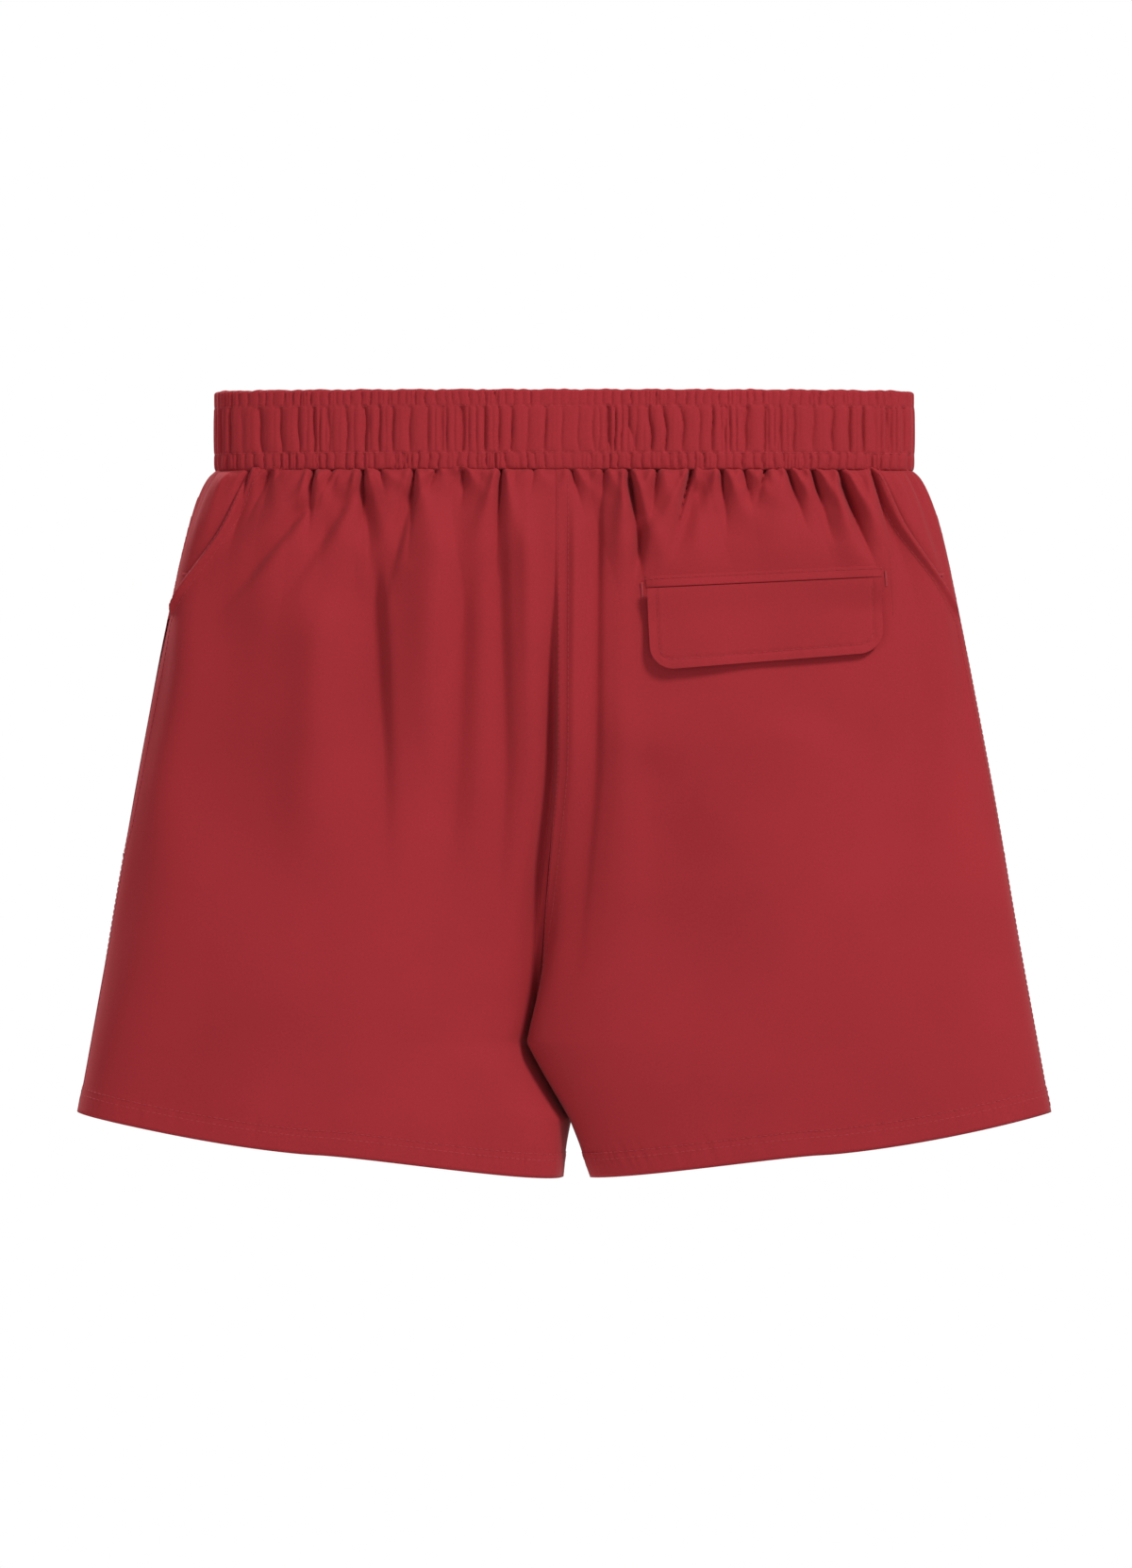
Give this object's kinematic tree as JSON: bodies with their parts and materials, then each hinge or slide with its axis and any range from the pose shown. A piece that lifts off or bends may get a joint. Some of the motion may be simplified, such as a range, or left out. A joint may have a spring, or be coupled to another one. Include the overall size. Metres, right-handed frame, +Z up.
{
  "type": "shorts",
  "caption": "Woven shorts with a gathered elastic waistband, wide legs, side-seam pockets and a rear pocket under a flap that lifts.",
  "frame": {"origin": "middle of the waist opening, level with the waistband's top rim, where a waist, a form or a hanger holds the shorts", "axes": "+Z up, the wearer faces +Y, so the back with its flap pocket faces -Y; +X towards the wearer's right leg"},
  "size_m": [0.517, 0.0909, 0.4165],
  "materials": {
    "shell_cloth": "matte fine plain weave",
    "pocket_cloth": "matte light plain weave",
    "elastic": "matte ribbed",
    "thread": "satin thread"
  },
  "bodies": {
    "shorts": {"waistband_casing": "shell_cloth", "back_panel_left": "shell_cloth", "back_panel_right": "shell_cloth", "front_panel_left": "shell_cloth", "front_panel_right": "shell_cloth", "side_pocket_facing_left": "shell_cloth", "side_pocket_facing_right": "shell_cloth", "rear_pocket_upper_welt": "shell_cloth", "rear_pocket_lower_welt": "shell_cloth", "side_pocket_front_bag_left": "pocket_cloth", "side_pocket_front_bag_right": "pocket_cloth", "side_pocket_back_bag_left": "pocket_cloth", "side_pocket_back_bag_right": "pocket_cloth", "rear_pocket_bag_outer": "pocket_cloth", "rear_pocket_bag_inner": "pocket_cloth", "waistband_elastic": "elastic", "side_tack_upper_left": "thread", "side_tack_upper_right": "thread", "side_tack_lower_left": "thread", "side_tack_lower_right": "thread", "rear_tack_left": "thread", "rear_tack_right": "thread", "cord_eyelet_left": "thread", "cord_eyelet_right": "thread"},
    "rear_flap": {"flap_outer": "shell_cloth", "flap_lining": "shell_cloth"}
  },
  "joints": [
    {"name": "rear_flap_lift", "type": "hinge", "parent": "shorts", "child": "rear_flap", "pos_m": [0.10527, -0.04161, -0.104], "axis": [-0.9951, -0.0863, -0.0488], "range_deg": [0, 150]}
  ]
}
